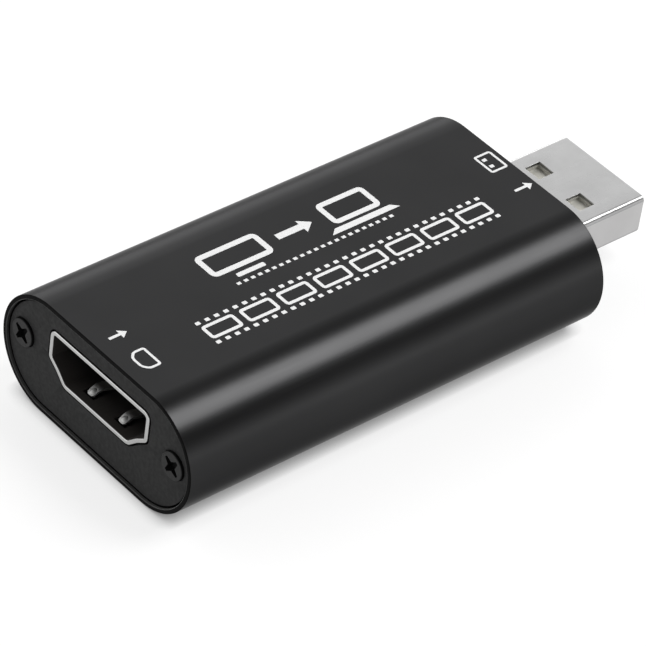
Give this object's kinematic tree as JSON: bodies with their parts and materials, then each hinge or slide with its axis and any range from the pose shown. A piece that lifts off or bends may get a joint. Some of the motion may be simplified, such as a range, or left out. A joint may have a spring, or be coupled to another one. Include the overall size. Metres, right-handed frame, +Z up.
{
  "type": "video capture box",
  "caption": "Pocket video capture box: round-sided metal sleeve with screwed end plates, a video socket at one end and a flat data plug at the other.",
  "frame": {"origin": "on the resting face, under the middle of the whole length and width", "axes": "+X from the video socket towards the data plug's tip, +Z up from the resting face"},
  "size_m": [0.0652, 0.028, 0.0128],
  "materials": {
    "sleeve_finish": "satin black coat on extruded metal",
    "plate_finish": "fine matt moulding",
    "screw_finish": "black oxide",
    "socket_metal": "plated sheet steel",
    "plug_metal": "plated sheet steel, fine satin",
    "black_insulator": "moulded, matt",
    "pale_insulator": "moulded, matt, pale grey",
    "contact_plating": "thin gold plating",
    "board_mask": "green lacquer on glass laminate",
    "chip_package": "moulded, matt",
    "tinned_lead": "tin plating",
    "ferrite": "pressed powder",
    "ceramic": "fired ceramic"
  },
  "bodies": {
    "capture_box": {"outer_sleeve": "sleeve_finish", "input_end_plate": "plate_finish", "output_end_plate": "plate_finish", "input_plate_screws": "screw_finish", "output_plate_screws": "screw_finish", "circuit_board": "board_mask", "socket_shell": "socket_metal", "socket_insulator": "black_insulator", "socket_upper_contacts": "contact_plating", "socket_lower_contacts": "contact_plating", "plug_shell": "plug_metal", "plug_insulator": "pale_insulator", "plug_contacts": "contact_plating", "capture_chip": "chip_package", "capture_chip_pads": "tinned_lead", "memory_chip": "chip_package", "memory_chip_leads": "tinned_lead", "crystal": "tinned_lead", "voltage_regulator": "chip_package", "regulator_leads": "tinned_lead", "power_coil": "ferrite", "ceramic_capacitors": "ceramic", "capacitor_end_caps": "tinned_lead", "chip_resistors": "chip_package", "surge_protectors": "chip_package"},
    "lower_left_spring_finger": {"lower_left_spring_finger": "socket_metal"},
    "lower_right_spring_finger": {"lower_right_spring_finger": "socket_metal"},
    "upper_left_spring_finger": {"upper_left_spring_finger": "socket_metal"},
    "upper_right_spring_finger": {"upper_right_spring_finger": "socket_metal"}
  },
  "joints": [
    {"name": "lower_left_finger_flex", "type": "hinge", "parent": "capture_box", "child": "lower_left_spring_finger", "pos_m": [-0.028, 0.00235, 0.005], "axis": [0, -1, 0], "range_deg": [0, 6], "stiffness_Nm_per_rad": 0.03},
    {"name": "lower_right_finger_flex", "type": "hinge", "parent": "capture_box", "child": "lower_right_spring_finger", "pos_m": [-0.028, -0.00235, 0.005], "axis": [0, -1, 0], "range_deg": [0, 6], "stiffness_Nm_per_rad": 0.03},
    {"name": "upper_left_finger_flex", "type": "hinge", "parent": "capture_box", "child": "upper_left_spring_finger", "pos_m": [-0.0264, 0.00235, 0.0099], "axis": [0, 1, 0], "range_deg": [0, 6], "stiffness_Nm_per_rad": 0.03},
    {"name": "upper_right_finger_flex", "type": "hinge", "parent": "capture_box", "child": "upper_right_spring_finger", "pos_m": [-0.0264, -0.00235, 0.0099], "axis": [0, 1, 0], "range_deg": [0, 6], "stiffness_Nm_per_rad": 0.03}
  ]
}
